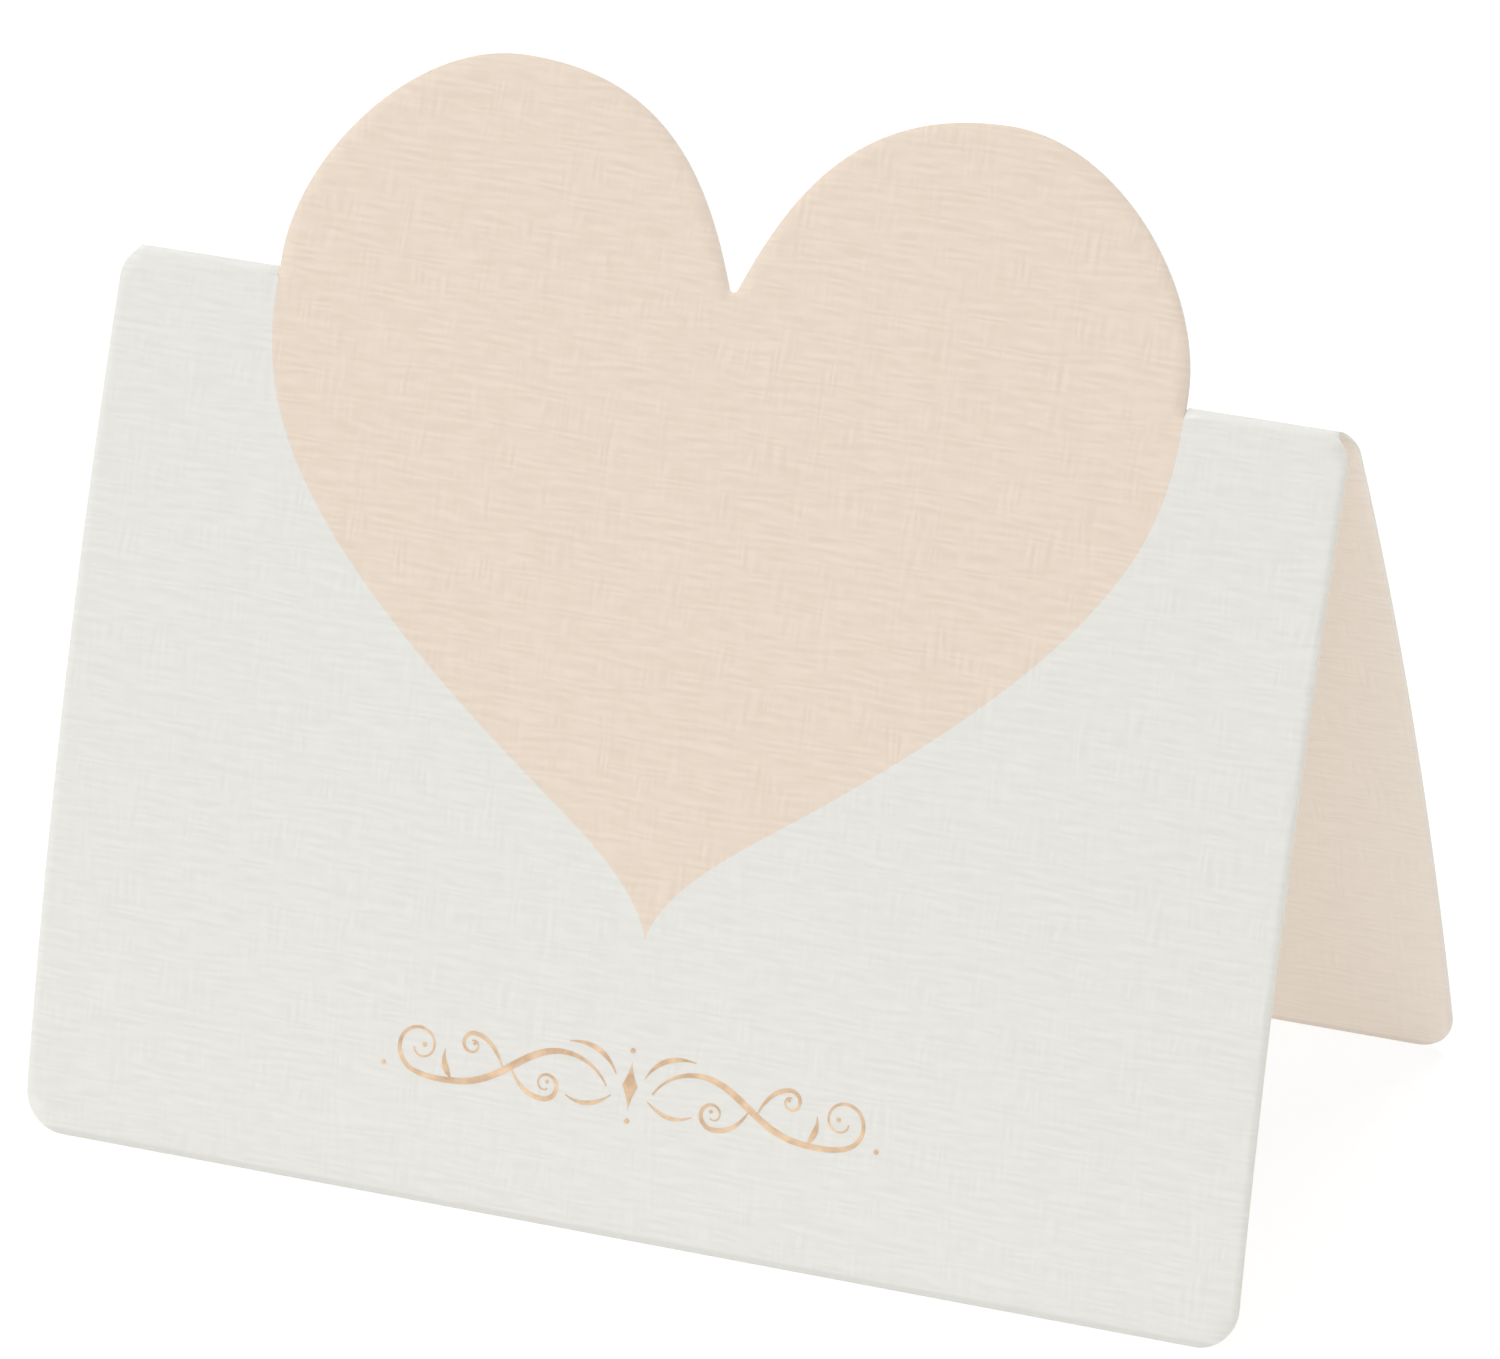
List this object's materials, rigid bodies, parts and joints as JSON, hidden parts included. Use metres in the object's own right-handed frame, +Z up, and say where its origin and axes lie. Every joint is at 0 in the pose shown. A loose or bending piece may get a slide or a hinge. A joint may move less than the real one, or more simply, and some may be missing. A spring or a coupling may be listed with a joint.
{
  "type": "greeting card",
  "caption": "Folded greeting card that stands like a tent, with a heart whose two lobes are cut free at the fold and stand up above it.",
  "frame": {"origin": "on the table, midway between the two bottom edges and midway along the fold", "axes": "+X along the fold, +Y from the printed front towards the back panel, +Z up"},
  "size_m": [0.1, 0.051, 0.0816],
  "materials": {
    "card_stock": "matt linen-embossed card, off-white outside and blush inside, with a blush printed heart"
  },
  "bodies": {
    "root": {"card": "card_stock"}
  },
  "joints": []
}
